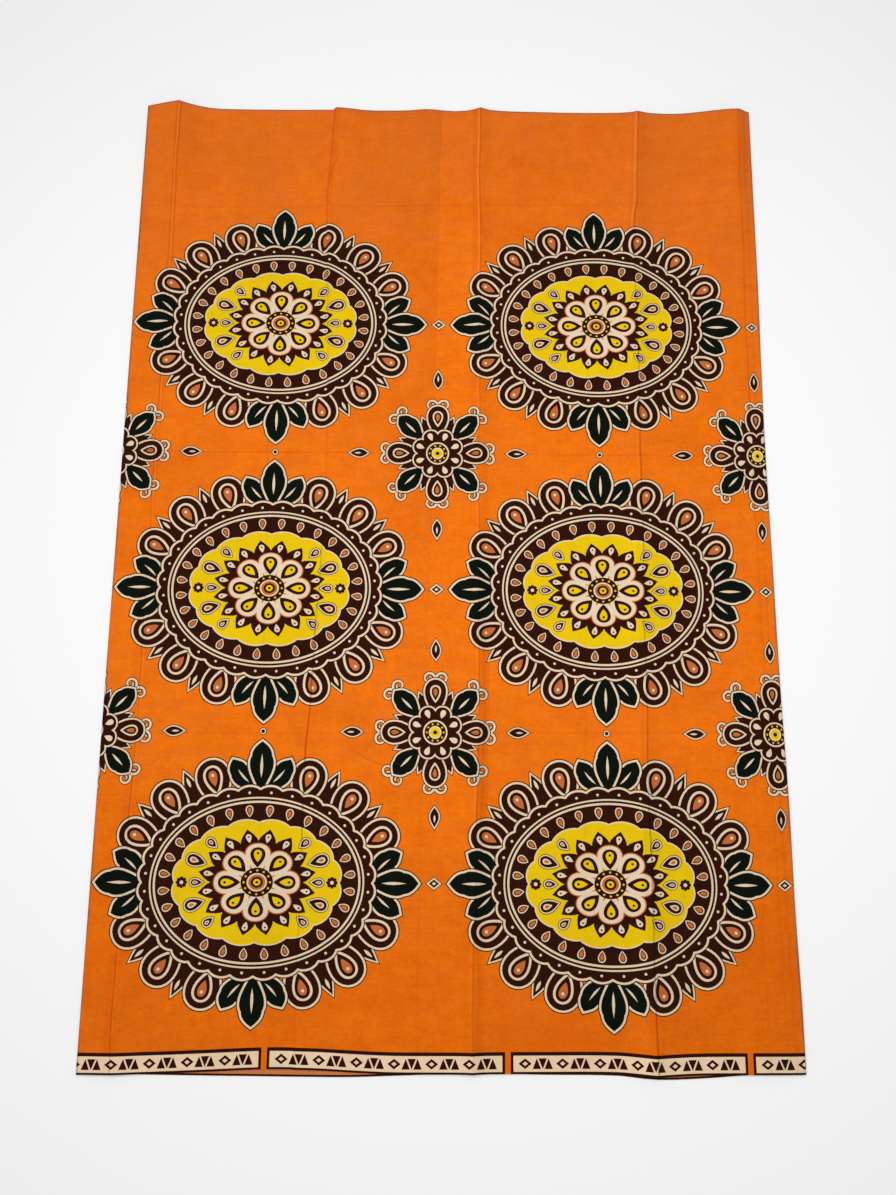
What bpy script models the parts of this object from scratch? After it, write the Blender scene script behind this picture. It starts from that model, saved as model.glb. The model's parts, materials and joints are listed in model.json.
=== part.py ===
"""Wrapper cloth: one printed cotton length, folded flat so that its front lies over its back.

The cloth lies on its back layer. +X is to the right, +Y runs along the side folds to the top edge,
+Z is up, and the origin is under the middle of the folded cloth, on the surface it lies on.
"""
import math
from collections import namedtuple

import bmesh
import bpy

# Driving sizes, in metres
WIDTH = 0.80            # from fold to fold
LENGTH = 1.20           # from the foot edge to the top edge
WALL = 0.0010           # one layer of cloth
GAP = 0.0003            # between layers that lie on each other
LIP = 0.010             # what of the front turns under at each side fold
BACK_SLIP = 0.0035      # how far the back layer slips out below the foot edge, at most

# Places that follow from the sizes
STACK = 2 * WALL + GAP
TOP_Y = (LENGTH + BACK_SLIP) / 2
FOOT_Y = TOP_Y - LENGTH
SIDE_X = WIDTH / 2
FOOT_BOW_FADE = 0.14    # how far up the cloth the foot edge's bow is felt
FOOT_LIFT_FADE = 0.12   # how far up the cloth the creases' lift at the foot is felt
FADE_POWER = 1.5        # how sharply a crease's height at the top edge falls away
RIGHT_PULL_FROM = 0.30  # from here to the right fold, the cloth follows the fold's inward bow

CLOTH_COLOUR = (0.82, 0.17, 0.012, 1.0)
CLOTH_ROUGHNESS = 0.85

# One row for each packing crease that stands up. place and lean are metres right of the middle, lean
# from the top edge to the foot. top, mid and foot are its heights. left and right are the reaches of
# its flanks, and fade is how far from the top edge its top height is felt.
Crease = namedtuple("Crease", "name place lean top mid foot left right left_form right_form fade")
CREASES = (
    Crease("left_ridge", -0.360, -0.002, 0.0135, 0.0016, 0.0022, 0.050, 0.052, "straight", "hollow", 0.20),
    Crease("left_step", -0.152, -0.012, 0.0052, 0.0014, 0.0012, 0.004, 0.050, "full", "full", 0.22),
    Crease("middle_swell", -0.030, -0.006, 0.0028, 0.0000, 0.0000, 0.036, 0.036, "full", "full", 0.14),
    Crease("middle_ridge", 0.041, -0.007, 0.0058, 0.0020, 0.0028, 0.022, 0.022, "hollow", "hollow", 0.25),
    Crease("right_ridge", 0.247, -0.011, 0.0044, 0.0018, 0.0032, 0.022, 0.024, "hollow", "hollow", 0.25),
    Crease("right_swell", 0.372, -0.002, 0.0110, 0.0008, 0.0010, 0.085, 0.030, "full", "full", 0.16),
)

# The right fold's bow: how far it lies inside the straight side line, by its place along the cloth
RightFold = namedtuple("RightFold", "y inset")
RIGHT_FOLD = (
    RightFold(-0.602, 0.0000),
    RightFold(-0.530, 0.0004),
    RightFold(-0.420, 0.0025),
    RightFold(-0.300, 0.0022),
    RightFold(-0.170, 0.0042),
    RightFold(-0.020, 0.0046),
    RightFold(0.140, 0.0050),
    RightFold(0.250, 0.0036),
    RightFold(0.340, 0.0020),
    RightFold(0.500, 0.0008),
    RightFold(0.602, 0.0000),
)

# The foot edges: how far the front lies above the straight foot line, and the back below it
FootEdge = namedtuple("FootEdge", "x front_up back_down")
FOOT_EDGE = (
    FootEdge(-0.400, 0.0000, -0.0004),
    FootEdge(-0.340, 0.0006, 0.0000),
    FootEdge(-0.270, 0.0038, 0.0006),
    FootEdge(-0.197, 0.0070, 0.0010),
    FootEdge(-0.150, 0.0068, 0.0010),
    FootEdge(-0.100, 0.0040, 0.0012),
    FootEdge(-0.050, 0.0012, 0.0002),
    FootEdge(0.034, 0.0000, -0.0006),
    FootEdge(0.110, 0.0015, -0.0006),
    FootEdge(0.190, 0.0013, 0.0006),
    FootEdge(0.234, -0.0006, 0.0035),
    FootEdge(0.283, 0.0010, 0.0024),
    FootEdge(0.340, 0.0005, 0.0002),
    FootEdge(0.400, 0.0000, -0.0004),
)

# Stations of the front's grid: distances down from the top edge, closer where the folds fade
TOP_STATIONS = (0.0, 0.012, 0.028, 0.050, 0.080, 0.120, 0.170, 0.230, 0.300)
FOOT_STATIONS = (0.0, 0.012, 0.030, 0.060, 0.100, 0.160)
MIDDLE_STEP = 0.10
# Stations across each crease, as shares of its flank's reach, and the widest step between creases
FLANK_STATIONS = (1.0, 0.72, 0.45, 0.20)
WIDEST_STEP = 0.045
CLOSEST_STEP = 0.001
ARC_STEPS = 6           # round each side fold
LIP_STATIONS = (1.0, 0.6)
FOLD_CLEAR = 0.006      # no column stands nearer to a side fold than this
BACK_STEP = 0.04


def smooth_read(rows, key, value, at):
    """Read a table at a place, on a smooth curve through its rows."""
    xs = [getattr(row, key) for row in rows]
    ys = [getattr(row, value) for row in rows]
    at = min(max(at, xs[0]), xs[-1])
    i = max(k for k in range(len(xs) - 1) if xs[k] <= at)
    step = xs[i + 1] - xs[i]
    t = (at - xs[i]) / step

    def slope(k):
        low, high = max(k - 1, 0), min(k + 1, len(xs) - 1)
        return (ys[high] - ys[low]) / (xs[high] - xs[low])

    return (
        ys[i] * (2 * t ** 3 - 3 * t ** 2 + 1)
        + slope(i) * step * (t ** 3 - 2 * t ** 2 + t)
        + ys[i + 1] * (3 * t ** 2 - 2 * t ** 3)
        + slope(i + 1) * step * (t ** 3 - t ** 2)
    )


def flank(form, share):
    """Height of a crease's flank, from 1 at its crest to 0 at its reach."""
    if share >= 1:
        return 0.0
    if form == "straight":
        return 1 - share
    if form == "hollow":
        return (1 - share) ** 2
    return 0.5 + 0.5 * math.cos(math.pi * share)


def lift(column, y):
    """Height of the front above its flat place. column is the place across at the top edge."""
    drop = max(TOP_Y - y, 0.0)
    near_foot = math.exp(-((y - FOOT_Y) / FOOT_LIFT_FADE) ** 2)
    height = 0.0
    for crease in CREASES:
        away = column - crease.place
        reach, form = (crease.left, crease.left_form) if away < 0 else (crease.right, crease.right_form)
        near_top = math.exp(-(drop / crease.fade) ** FADE_POWER)
        crest = crease.mid + (crease.top - crease.mid) * near_top + (crease.foot - crease.mid) * near_foot
        height += crest * flank(form, abs(away) / reach)
    return height


def lean_at(column):
    """How far a column of the cloth leans to the right between the top edge and the foot."""
    places = [-SIDE_X] + [crease.place for crease in CREASES] + [SIDE_X]
    leans = [0.0] + [crease.lean for crease in CREASES] + [0.0]
    i = max(k for k in range(len(places) - 1) if places[k] <= max(column, places[0]))
    share = (column - places[i]) / (places[i + 1] - places[i])
    return leans[i] + (leans[i + 1] - leans[i]) * share


def across(column, y):
    """Where a column of the cloth lies across, with its lean and the right fold's bow."""
    pull = max(column - RIGHT_PULL_FROM, 0.0) / (SIDE_X - RIGHT_PULL_FROM)
    inset = smooth_read(RIGHT_FOLD, "y", "inset", y)
    return column + lean_at(column) * (TOP_Y - y) / LENGTH - pull * inset


def along(x, y):
    """Where a row of the front lies along the cloth, with the foot edge's bow."""
    bow = smooth_read(FOOT_EDGE, "x", "front_up", x)
    return y + bow * math.exp(-((y - FOOT_Y) / FOOT_BOW_FADE) ** 2)


def front_rows():
    """Places along the cloth of the front's grid rows, from the foot up."""
    foot = [FOOT_Y + rise for rise in FOOT_STATIONS]
    top = [TOP_Y - drop for drop in reversed(TOP_STATIONS)]
    count = math.ceil((top[0] - foot[-1]) / MIDDLE_STEP)
    middle = [foot[-1] + (top[0] - foot[-1]) * k / count for k in range(1, count)]
    return foot + middle + top


def front_columns():
    """Places across of the columns on the front's upper side, between its side folds."""
    places = [-SIDE_X, SIDE_X] + [crease.place for crease in CREASES]
    for crease in CREASES:
        for share in FLANK_STATIONS:
            for place in (crease.place - crease.left * share, crease.place + crease.right * share):
                nearest = min(abs(place - other) for other in places)
                if abs(place) < SIDE_X - FOLD_CLEAR and nearest > CLOSEST_STEP:
                    places.append(place)
    places.sort()
    columns = []
    for low, high in zip(places, places[1:]):
        parts = math.ceil((high - low) / WIDEST_STEP)
        columns += [low + (high - low) * k / parts for k in range(1, parts + 1)]
    return columns[:-1]


def fold_point(side, angle, y):
    """A point on the round of a side fold, from straight up at 90 degrees to straight down at -90."""
    edge = across(side * SIDE_X, y)
    radius = (STACK + lift(side * SIDE_X, y)) / 2
    return (edge - side * radius * (1 - math.cos(angle)), y, radius * (1 + math.sin(angle)))


def lip_point(side, inward, y):
    """A point on the lip that turns under a side fold."""
    return (across(side * SIDE_X, y) - side * inward, y, 0.0)


def front_section(y):
    """The front's outer line at one place along the cloth, from the left lip over to the right lip."""
    turns = [math.pi * (0.5 - step / ARC_STEPS) for step in range(ARC_STEPS + 1)]
    section = [lip_point(-1, LIP * share, y) for share in LIP_STATIONS]
    section += [fold_point(-1, angle, y) for angle in reversed(turns)]
    section += [(across(column, y), y, STACK + lift(column, y)) for column in front_columns()]
    section += [fold_point(1, angle, y) for angle in turns]
    section += [lip_point(1, LIP * share, y) for share in reversed(LIP_STATIONS)]
    return [(x, along(x, y), z) for x, y, z in section]


def grid_object(name, sections):
    """An open grid surface whose rows of points are the given sections."""
    bm = bmesh.new()
    columns, rows = len(sections[0]), len(sections)
    bmesh.ops.create_grid(bm, x_segments=columns - 1, y_segments=rows - 1, size=1.0)
    for vert in bm.verts:
        column = round((vert.co.x + 1) / 2 * (columns - 1))
        row = round((vert.co.y + 1) / 2 * (rows - 1))
        vert.co = sections[row][column]
    mesh = bpy.data.meshes.new(name)
    bm.to_mesh(mesh)
    bm.free()
    piece = bpy.data.objects.new(name, mesh)
    wall = piece.modifiers.new("wall", "SOLIDIFY")
    wall.thickness = WALL
    wall.offset = -1
    wall.use_even_offset = True
    return piece


def make_front():
    """The layer that shows, with both side folds and their lips."""
    return grid_object("cloth_front", [front_section(y) for y in front_rows()])


def make_back():
    """The hidden layer, flat on the surface, between the front's lips."""
    columns = math.ceil(WIDTH / BACK_STEP)
    sections = []
    for y in front_rows():
        left = across(-SIDE_X, y) + LIP + GAP
        right = across(SIDE_X, y) - LIP - GAP
        fade = math.exp(-((y - FOOT_Y) / FOOT_BOW_FADE) ** 2)
        section = []
        for column in range(columns + 1):
            x = left + (right - left) * column / columns
            down = smooth_read(FOOT_EDGE, "x", "back_down", x)
            section.append((x, y - down * fade, WALL))
        sections.append(section)
    return grid_object("cloth_back", sections)


def cloth_material(name):
    """Matt orange cotton."""
    material = bpy.data.materials.new(name)
    material.use_nodes = True
    shader = material.node_tree.nodes["Principled BSDF"]
    shader.inputs["Base Color"].default_value = CLOTH_COLOUR
    shader.inputs["Roughness"].default_value = CLOTH_ROUGHNESS
    shader.inputs["Metallic"].default_value = 0.0
    return material


def main():
    for old in list(bpy.data.objects):
        bpy.data.objects.remove(old, do_unlink=True)
    group = bpy.data.collections.new("wrapper_cloth")
    bpy.context.scene.collection.children.link(group)
    for piece in (make_front(), make_back()):
        piece.data.materials.append(cloth_material(piece.name + "_cotton"))
        piece.data.shade_smooth()
        group.objects.link(piece)


main()
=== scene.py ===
"""Printed cotton wrapper cloth, folded flat on a pale floor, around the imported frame.

Metres, in the frame's own axes: +X right, +Y along the side folds to the plain top edge, +Z up.
"""
import json
import math
import random
from collections import namedtuple

import bpy
import numpy as np
from mathutils import Matrix, Vector
from mathutils.geometry import delaunay_2d_cdt

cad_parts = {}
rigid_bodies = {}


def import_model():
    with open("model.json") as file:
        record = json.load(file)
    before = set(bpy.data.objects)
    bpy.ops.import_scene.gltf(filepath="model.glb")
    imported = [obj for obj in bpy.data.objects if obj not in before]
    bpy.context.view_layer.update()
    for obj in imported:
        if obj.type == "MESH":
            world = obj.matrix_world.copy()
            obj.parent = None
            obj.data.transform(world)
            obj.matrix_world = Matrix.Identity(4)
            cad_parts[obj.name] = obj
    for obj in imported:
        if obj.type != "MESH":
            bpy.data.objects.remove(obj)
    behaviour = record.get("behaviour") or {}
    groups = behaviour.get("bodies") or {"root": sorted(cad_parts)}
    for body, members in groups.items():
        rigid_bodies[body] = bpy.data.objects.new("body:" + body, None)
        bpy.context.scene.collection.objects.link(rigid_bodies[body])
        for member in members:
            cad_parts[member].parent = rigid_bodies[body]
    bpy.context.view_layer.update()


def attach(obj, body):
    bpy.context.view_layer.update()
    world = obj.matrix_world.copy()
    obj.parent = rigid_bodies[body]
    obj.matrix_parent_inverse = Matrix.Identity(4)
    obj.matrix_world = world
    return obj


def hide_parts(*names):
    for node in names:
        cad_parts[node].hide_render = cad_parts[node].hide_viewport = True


for old in list(bpy.data.objects):
    bpy.data.objects.remove(old, do_unlink=True)
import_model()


def table(columns, *rows):
    """Rows with named columns."""
    row_type = namedtuple("Row", columns)
    return [row_type(*row) for row in rows]


MM = 0.001

# Sizes, as in the solids
WIDTH = 0.80
LENGTH = 1.20
CAD_WALL = 0.0010
GAP = 0.0003
LIP = 0.010
BACK_SLIP = 0.0035
STACK = 2 * CAD_WALL + GAP
TOP_Y = (LENGTH + BACK_SLIP) / 2
FOOT_Y = TOP_Y - LENGTH
SIDE_X = WIDTH / 2
FOOT_BOW_FADE = 0.14
TOP_BOW_FADE = 0.16
FOOT_LIFT_FADE = 0.12
FADE_POWER = 1.5
RIGHT_PULL_FROM = 0.30

# The cloth as it is seen
WALL = 0.0006  # thickness of one layer
ROUND = STACK / 2  # radius of a pressed side fold
TURN = SIDE_X - ROUND  # where the flat top ends and a side fold begins
FOLD_ARC = math.pi * ROUND
FRONT_END = TURN + FOLD_ARC + LIP - ROUND
LOOP = 4 * TURN + 2 * FOLD_ARC  # once round the folded cloth
BACK_HALF = SIDE_X - LIP - GAP
FOLD_BLEND = 0.030  # how far in from a side fold its raised corners are felt
PRESS_POWER = 1.3  # how sharp the pressed lines are
FLANK_FADE = 0.22
FACING_STEP = 0.00012
STRAY_REACH = 0.045
UNEVEN_TURNS = (23, 9.7)  # how fast a crease's size changes along it, in radians a metre
# How far every line winds, how fast in radians a metre, and from where
WINDING = ((0.0005, 31, 1.3), (0.0003, 83, 0))
WAVE_COUNT = 18
WAVE_LENGTHS = (0.045, 0.16)
WAVE_SIZE = 0.10  # length of a wave of full height
FRONT_WAVES = 0.0002
BACK_WAVES = 0.00016
FRONT_SEED = 11
BACK_SEED = 29
WRINKLE_RIDGE = 0.45  # height of the ridge beside a wrinkle
WRINKLE_FADE = 0.7
BACK_WRINKLE_SHARE = 0.9
BACK_EDGE = 0.02  # share of the back's width that lies flat at each side
WRINKLE_BEND = 0.0015  # how far a wrinkle winds to either side
WRINKLE_TURNS = 9  # and how often, in radians over its length
UPPER_Y = 0.10  # where the pressed lines' upper and lower shares hold
LOWER_Y = -0.20

# Each packing crease that stands up: where it starts at the top edge and how far it leans down to the
# foot, its heights, its flanks' reach and form, and how far down its height at the top edge fades
CREASES = table(
    "name place lean top mid foot left right left_form right_form fade",
    ("left_ridge", -0.356, -0.0065, 0.0135, 0.0016, 0.0022, 0.05, 0.052, "straight", "hollow", 0.2),
    ("left_step", -0.1505, -0.012, 0.0052, 0.0014, 0.0012, 0.004, 0.05, "full", "full", 0.22),
    ("middle_swell", -0.029, -0.022, 0.0028, 0, 0, 0.036, 0.036, "full", "full", 0.14),
    ("middle_ridge", 0.041, -0.009, 0.0058, 0.002, 0.0028, 0.022, 0.022, "hollow", "hollow", 0.25),
    ("right_ridge", 0.2505, -0.016, 0.0044, 0.0018, 0.0032, 0.022, 0.024, "hollow", "hollow", 0.25),
    ("right_swell", 0.381, -0.002, 0.011, 0.0008, 0.001, 0.094, 0.021, "full", "full", 0.16),
)
PLACES = {crease.name: crease for crease in CREASES}

# How far the crests stray from straight lines, down the cloth
STRAYS = table(
    "y left_ridge left_step middle_swell middle_ridge right_ridge",
    (-0.602, 0, 0, 0, 0, 0),
    (-0.54, -0.001, -0.0011, -0.0015, -0.0004, -0.0007),
    (-0.24, 0.0033, -0.0022, -0.004, 0.004, -0.0046),
    (-0.19, 0.003, 0.0003, -0.0035, 0.004, -0.0046),
    (0.1, 0.0009, 0.0081, 0, 0.002, -0.0054),
    (0.3, 0.0005, 0.002, 0, 0.0015, -0.007),
    (0.44, 0, -0.0045, 0, 0.001, -0.0085),
    (0.47, 0, -0.0055, 0, 0, -0.004),
    (0.52, 0, -0.0024, 0, 0, -0.0022),
    (0.602, 0, 0, 0, 0, 0),
)

# How far the right fold bows in
RIGHT_FOLD = table(
    "y inset",
    (-0.602, 0.0014), (-0.53, 0.0012), (-0.42, 0.0025), (-0.3, 0.0022), (-0.17, 0.0042), (-0.02, 0.0046),
    (0.14, 0.005), (0.25, 0.0036), (0.34, 0.002), (0.5, 0.0008), (0.602, 0),
)

# How far the front's foot edge draws up and the back's hangs down
FOOT_EDGE = table(
    "x front_up back_down",
    (-0.4, 0.0008, -0.0016), (-0.34, 0.0014, -0.0012), (-0.27, 0.004, -0.0004), (-0.197, 0.0072, 0.0002),
    (-0.15, 0.0068, 0.0006), (-0.1, 0.0042, 0.0006), (-0.05, 0.0024, -0.001), (0.034, 0.0028, -0.0034),
    (0.11, 0.0035, -0.0025), (0.19, 0.0036, -0.0018), (0.234, 0.0008, 0.0022), (0.283, 0.0025, 0.0008),
    (0.34, 0.0032, -0.003), (0.4, 0.0036, -0.004),
)

# How far the top edge of both layers draws in towards the middle
TOP_EDGE = table(
    "x down",
    (-0.4, 0.0026), (-0.355, 0.0032), (-0.29, 0.0054), (-0.2, 0.0056), (-0.151, 0.0046), (-0.09, 0.0052),
    (-0.029, 0.0042), (0.01, 0.0044), (0.041, 0.0024), (0.09, 0.0042), (0.19, 0.0048), (0.248, 0.004),
    (0.31, 0.0052), (0.36, 0.0044), (0.384, 0.0034), (0.4, 0.0004),
)

# Pressed lines and bands: offset from the crest, how far the line drifts from it down to the foot, half
# width, depth, and how much of the depth shows at the top edge, above and below the middle and at the
# foot. A line with a negative depth stands up.
PRESSES = table(
    "crease offset drift half depth top upper lower foot",
    ("left_ridge", -0.0075, 0, 0.0068, 0.00022, 0, 0.3, 0.8, 1),
    ("left_ridge", -0.0016, 0, 0.0014, 0.00055, 1, 1.2, 1, 1.7),
    ("left_ridge", 0.0008, 0, 0.0013, -0.00016, 1, 0.6, 0.4, 0.2),
    ("left_ridge", 0.0031, 0, 0.0014, 0.0005, 1, 0.6, 0.2, 0.3),
    ("left_step", -0.0005, 0, 0.0016, 0.00068, 1, 0.5, 2, 0.4),
    ("left_step", 0.0034, 0, 0.0036, 0.00022, 1.3, 0.2, 0.1, 0.1),
    ("left_step", -0.0811, 0.0377, 0.0014, 0.00022, 0.3, 1, 1, 0.5),
    ("middle_swell", 0.0185, 0, 0.0016, 0.00034, 0.8, 0.5, 0.5, 0.4),
    ("middle_ridge", -0.0072, 0, 0.0044, 0.00034, 1, 0.3, 0.2, 0.4),
    ("middle_ridge", -0.0038, 0, 0.0013, 0.00026, 1, 0.3, 0.2, 0.2),
    ("middle_ridge", -0.0017, 0, 0.0012, -0.00022, 1, 0.3, 0.3, 0.1),
    ("middle_ridge", 0.0007, 0, 0.0018, 0.00062, 1.1, 0.7, 1.2, 0.5),
    ("middle_ridge", 0.0066, 0, 0.006, 0.00034, 0, 0.1, 1.8, 0.3),
    ("middle_ridge", 0.0122, 0, 0.0013, 0.00026, 0.2, 0.2, 1, 0.1),
    ("right_ridge", -0.0649, -0.0177, 0.0014, 0.00022, 0.3, 0.8, 1, 0.5),
    ("right_ridge", -0.0064, 0, 0.0013, 0.00022, 1, 0.2, 0, 0),
    ("right_ridge", -0.0024, 0, 0.002, -0.00018, 1.2, 0.5, 0.2, 0.1),
    ("right_ridge", -0.0046, 0, 0.0044, 0.00022, 0, 0.5, 1, 0.8),
    ("right_ridge", 0.0009, 0, 0.0018, 0.00066, 1.1, 1.2, 1.2, 1.6),
    ("right_swell", -0.017, 0, 0.0014, 0.00022, 0, 0.2, 0.6, 1),
    ("right_swell", 0.0012, 0, 0.0016, 0.0005, 1.5, 0.9, 0.7, 0.4),
    ("right_swell", 0.0095, 0, 0.0014, 0.00036, 0.4, 0.6, 0.9, 0.6),
)

# Faint folds across the cloth: height up at the middle, slope, half width, depth, and how much of
# the depth is left at the left fold, the middle and the right fold
CROSS_FOLDS = table(
    "up slope half depth left mid right",
    (0.4595, 0.019, 0.0016, 0.00032, 0.5, 1, 0.5),
    (0.1175, 0, 0.0016, 0.00038, 1, 0.9, 0.4),
    (-0.2252, 0.0068, 0.0015, 0.00032, 0.6, 0.9, 0.8),
)

# Short steep flanks beside the crests: the cloth drops over width on one side of the line and comes
# back gently over rise on the other. side is the side of the steep flank.
FLANKS = table(
    "crease side width rise top mid foot",
    ("left_ridge", -1, 0.012, 0.03, 0.0002, 0.0008, 0.0006),
    ("middle_ridge", 1, 0.012, 0.04, 0.0002, 0.0014, 0.0006),
    ("right_ridge", 1, 0.009, 0.036, 0.0002, 0.0012, 0.001),
)

# Small wrinkles: from one end to the other, with the trough's half width and depth
FRONT_WRINKLES = table(
    "x1 y1 x2 y2 half depth",
    (-0.122, -0.243, -0.051, -0.27, 0.0026, 0.0005),
    (-0.057, -0.274, 0.036, -0.239, 0.0028, 0.0006),
    (0.05, -0.243, 0.088, -0.252, 0.0024, 0.00028),
    (0.336, -0.326, 0.393, -0.331, 0.0026, 0.00035),
    (-0.06, -0.46, -0.003, -0.462, 0.0026, 0.0003),
    (-0.148, 0.395, -0.162, 0.3, 0.0024, 0.0003),
    (0.12, 0.11, 0.205, 0.126, 0.0034, 0.00024),
    (-0.33, 0.165, -0.262, 0.188, 0.0032, 0.00022),
    (-0.1437, 0.5366, -0.1579, 0.485, 0.0024, 0.00075),
    (0.1461, 0.5197, 0.175, 0.5127, 0.0024, 0.00022),
    (0.0408, 0.4614, 0.052, 0.392, 0.0022, 0.00042),
    (0.0582, -0.2038, 0.1224, -0.2208, 0.0026, 0.00024),
    (-0.3273, -0.203, -0.2801, -0.2143, 0.0024, 0.00022),
)
BACK_WRINKLES = table(
    "x1 y1 x2 y2 half depth",
    (-0.205, 0.262, -0.15, 0.236, 0.0028, 0.00035),
    (0.06, -0.15, 0.138, -0.122, 0.003, 0.0004),
    (0.24, 0.405, 0.312, 0.388, 0.0026, 0.0003),
    (-0.32, -0.352, -0.262, -0.331, 0.0026, 0.0003),
    (-0.03, 0.486, 0.034, 0.478, 0.0026, 0.00028),
)

# The hidden layer's own packing creases, seen from above: troughs on its underside
BACK_CREASES = table(
    "place lean half depth",
    (-0.24, 0.006, 0.004, 0.0005),
    (-0.04, 0.004, 0.003, 0.00038),
    (0.16, 0.009, 0.0046, 0.00055),
    (0.352, 0.003, 0.003, 0.00042),
)


def read_table(rows, key, value, at):
    """Read a table at many places, on a smooth curve through its rows."""
    xs = np.array([getattr(row, key) for row in rows])
    ys = np.array([getattr(row, value) for row in rows])
    at = np.clip(at, xs[0], xs[-1])
    i = np.clip(np.searchsorted(xs, at, side="right") - 1, 0, len(xs) - 2)
    ks = np.arange(len(xs))
    low, high = np.maximum(ks - 1, 0), np.minimum(ks + 1, len(xs) - 1)
    slopes = (ys[high] - ys[low]) / (xs[high] - xs[low])
    step = xs[i + 1] - xs[i]
    t = (at - xs[i]) / step
    ends = ys[i] * (2 * t ** 3 - 3 * t ** 2 + 1) + ys[i + 1] * (3 * t ** 2 - 2 * t ** 3)
    return ends + step * (slopes[i] * (t ** 3 - 2 * t ** 2 + t) + slopes[i + 1] * (t ** 3 - t ** 2))


def smooth(share):
    share = np.clip(share, 0.0, 1.0)
    return share * share * (3 - 2 * share)


def bell(away, reach):
    return np.exp(-((away / reach) ** 2))


def hump(share):
    """From 1 down to 0, level at both ends."""
    return 0.5 + 0.5 * np.cos(math.pi * np.clip(share, 0.0, 1.0))


def groove(share):
    """A pressed line's depth, from 1 at its middle to 0 at its half width."""
    return np.clip(1 - np.abs(share), 0.0, 1.0) ** PRESS_POWER


def unevenness(y, seed, low=0.55):
    """A slow change along a crease, between low and 1, so that no line is even."""
    fast, slow = UNEVEN_TURNS
    return low + (1 - low) * (0.5 + 0.5 * np.sin(y * fast + seed) * np.cos(y * slow + 2.3 * seed))


def flank_height(form, share):
    """Height of a crease's flank, from 1 at its crest to 0 at its reach."""
    if form == "full":
        return hump(share)
    return (1 - np.clip(share, 0.0, 1.0)) ** (1 if form == "straight" else 2)


def along_crease(y, row, fade):
    """A size that runs from its value at the top edge through its middle value to the foot's."""
    near_top = np.exp(-((np.maximum(TOP_Y - y, 0.0) / fade) ** FADE_POWER))
    near_foot = bell(y - FOOT_Y, FOOT_LIFT_FADE)
    return row.mid + (row.top - row.mid) * near_top + (row.foot - row.mid) * near_foot


def lift(column, y):
    """Height of the front above its flat place."""
    height = np.zeros_like(column)
    for crease in CREASES:
        away = column - crease.place
        left = flank_height(crease.left_form, -away / crease.left)
        right = flank_height(crease.right_form, away / crease.right)
        height = height + along_crease(y, crease, crease.fade) * np.where(away < 0, left, right)
    return height


def lean_at(creases, column):
    """How far a column of the cloth leans to the right between the top edge and the foot."""
    places = [-SIDE_X] + [crease.place for crease in creases] + [SIDE_X]
    return np.interp(column, places, [0.0] + [crease.lean for crease in creases] + [0.0])


def top_bow(x, y):
    """How far a place near the top edge is drawn in."""
    return read_table(TOP_EDGE, "x", "down", x) * bell(TOP_Y - y, TOP_BOW_FADE)


def foot_bow(value, x, y):
    """How far a place near the foot edge is drawn along the cloth."""
    return read_table(FOOT_EDGE, "x", value, x) * bell(y - FOOT_Y, FOOT_BOW_FADE)


def waves(x, y, seed, height):
    """A soft unevenness of the whole cloth."""
    rng = random.Random(seed)
    total = np.zeros_like(x)
    for _ in range(WAVE_COUNT):
        length = rng.uniform(*WAVE_LENGTHS)
        heading = rng.uniform(0, math.pi)
        phase = rng.uniform(0, 2 * math.pi)
        along_wave = x * math.cos(heading) + y * math.sin(heading)
        total = total + length / WAVE_SIZE * np.sin(2 * math.pi * along_wave / length + phase)
    return height * total / math.sqrt(WAVE_COUNT)


def troughs(wrinkles, x, y):
    """The small wrinkles, as soft troughs that fade out at both ends."""
    total = np.zeros_like(x)
    for w in wrinkles:
        dx, dy = w.x2 - w.x1, w.y2 - w.y1
        length = math.hypot(dx, dy)
        share = ((x - w.x1) * dx + (y - w.y1) * dy) / length ** 2
        away = ((y - w.y1) * dx - (x - w.x1) * dy) / length
        away = away - WRINKLE_BEND * np.sin(WRINKLE_TURNS * share)
        fade = np.sin(math.pi * np.clip(share, 0.0, 1.0)) ** WRINKLE_FADE
        ridge = WRINKLE_RIDGE * bell(away - 2 * w.half, 1.6 * w.half)
        total = total - w.depth * fade * (bell(away, w.half) - ridge)
    return total


def pressed_lines(column, y):
    """Narrow grooves and short steep flanks along the packing creases."""
    total = np.zeros_like(column)
    heights = (FOOT_Y, LOWER_Y, UPPER_Y, TOP_Y)
    for number, line in enumerate(PRESSES):
        drifted = PLACES[line.crease].place + line.offset + line.drift * (TOP_Y - y) / LENGTH
        size = np.interp(y, heights, (line.foot, line.lower, line.upper, line.top))
        size = line.depth * size * unevenness(y, number * 1.7)
        total = total - size * groove((column - drifted) / line.half)
    for number, line in enumerate(FLANKS):
        away = line.side * (column - PLACES[line.crease].place)
        shape = np.where(away > 0, np.clip(1 - away / line.width, 0.0, 1.0), hump(-away / line.rise))
        total = total + along_crease(y, line, FLANK_FADE) * unevenness(y, 4 + number, 0.7) * shape
    return total


def strayed(column, y):
    """How far the cloth near each packing crease strays from a straight line."""
    total = sum(size * np.sin(turns * y + start) for size, turns, start in WINDING)
    for name in STRAYS[0]._fields[1:]:
        near = 1 - np.abs(column - PLACES[name].place) / STRAY_REACH
        total = total + smooth(near) * read_table(STRAYS, "y", name, y)
    return total


def row_at(column, y):
    """Where a column of the cloth lies at each height, before the folds draw it in."""
    return column + lean_at(CREASES, column) * (TOP_Y - y) / LENGTH + strayed(column, y)


def column_at(x, y):
    """The column that lies at a place: the other way round."""
    column = x
    for _ in range(3):
        column = column + x - row_at(column, y)
    return column


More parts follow.
